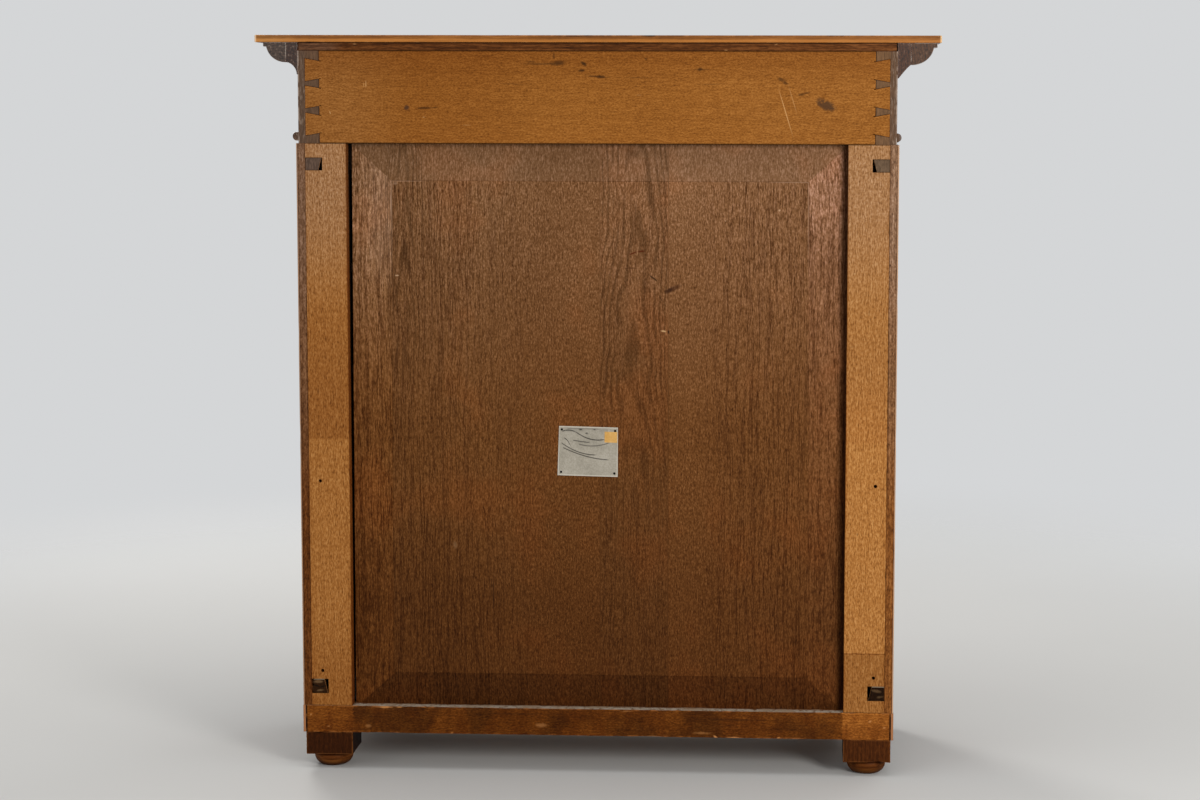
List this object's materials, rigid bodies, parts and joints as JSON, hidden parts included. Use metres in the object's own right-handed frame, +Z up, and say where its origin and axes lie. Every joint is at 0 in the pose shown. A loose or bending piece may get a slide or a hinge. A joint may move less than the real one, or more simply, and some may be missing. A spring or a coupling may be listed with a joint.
{
  "type": "linen press",
  "caption": "Tall wooden linen press on bun feet: framed doors with shelves behind, a dovetailed hood with cornice and frieze drawer, and a fielded back panel slid between posts.",
  "frame": {"origin": "on the floor, in the middle of the press's outer width and depth", "axes": "+Z up, +Y towards the back that the picture shows, -Y towards the doors, +X to the right as seen from the front"},
  "size_m": [1.588, 0.594, 1.737],
  "materials": {
    "tan_oak": "raw, aged",
    "golden_oak": "raw, aged golden",
    "panel_oak": "raw, grey-brown and coarse",
    "brown_oak": "raw, dark",
    "mahogany": "polished",
    "brass": "aged",
    "iron": "worn",
    "card_paper": "matt paper"
  },
  "bodies": {
    "press": {"bun_feet": "mahogany", "foot_blocks": "brown_oak", "base_back_rail": "brown_oak", "base_front_rail": "brown_oak", "base_side_rails": "brown_oak", "plinth_facing_front": "mahogany", "plinth_facing_sides": "mahogany", "back_post_left": "tan_oak", "back_post_right": "tan_oak", "front_post_left": "mahogany", "front_post_right": "mahogany", "side_board_left": "brown_oak", "side_board_right": "brown_oak", "side_veneer_left": "mahogany", "side_veneer_right": "mahogany", "top_bearers": "tan_oak", "bottom_bearers": "tan_oak", "top_front_rail": "brown_oak", "top_back_rail": "tan_oak", "bottom_front_rail": "brown_oak", "floor_board": "tan_oak", "shelves": "tan_oak", "shelf_cleats": "tan_oak", "back_panel": "panel_oak", "back_card": "card_paper", "card_tacks": "iron", "hood_back": "golden_oak", "hood_side_left": "brown_oak", "hood_side_right": "brown_oak", "hood_front_rail": "brown_oak", "hood_floor": "tan_oak", "hood_battens": "brown_oak", "hood_dowels": "tan_oak", "top_board": "golden_oak", "cornice_ovolos": "mahogany", "cornice_coves": "mahogany", "hood_beads": "mahogany", "hinge_post_leaves": "brass", "hinge_pins": "brass"},
    "left_door": {"left_door_stiles": "mahogany", "left_door_rails": "mahogany", "left_door_panel": "mahogany", "left_door_moulding": "mahogany", "left_hinge_leaves": "brass", "left_bolt_guides": "iron"},
    "right_door": {"right_door_stiles": "mahogany", "right_door_rails": "mahogany", "right_door_panel": "mahogany", "right_door_moulding": "mahogany", "right_hinge_leaves": "brass", "lock_case": "iron", "escutcheon": "brass"},
    "frieze_drawer": {"drawer_front": "mahogany", "drawer_bead": "mahogany", "drawer_walls": "tan_oak", "drawer_bottom": "tan_oak"},
    "top_bolt": {"left_top_bolt": "iron"},
    "bottom_bolt": {"left_bottom_bolt": "iron"},
    "lock_bolt": {"lock_bolt": "iron"},
    "door_key": {"door_key": "iron"}
  },
  "joints": [
    {"name": "left_door_swing", "type": "hinge", "parent": "press", "child": "left_door", "pos_m": [-0.609, -0.2089, 0.8], "axis": [0, 0, -1], "range_deg": [0, 165]},
    {"name": "right_door_swing", "type": "hinge", "parent": "press", "child": "right_door", "pos_m": [0.609, -0.2089, 0.8], "axis": [0, 0, 1], "range_deg": [0, 165]},
    {"name": "frieze_drawer_slide", "type": "slide", "parent": "press", "child": "frieze_drawer", "axis": [0, -1, 0], "range_m": [0, 0.3]},
    {"name": "key_turn", "type": "hinge", "parent": "right_door", "child": "door_key", "pos_m": [0.0392, -0.203, 0.8405], "axis": [0, -1, 0], "range_deg": [0, 180]},
    {"name": "lock_bolt_slide", "type": "slide", "parent": "right_door", "child": "lock_bolt", "axis": [-1, 0, 0], "range_m": [0, 0.014]},
    {"name": "top_bolt_slide", "type": "slide", "parent": "left_door", "child": "top_bolt", "axis": [0, 0, 1], "range_m": [0, 0.018]},
    {"name": "bottom_bolt_slide", "type": "slide", "parent": "left_door", "child": "bottom_bolt", "axis": [0, 0, -1], "range_m": [0, 0.018]}
  ],
  "couplings": [
    {"joint": "key_turn", "follows": "lock_bolt_slide", "rad_per_m": 224.39}
  ]
}
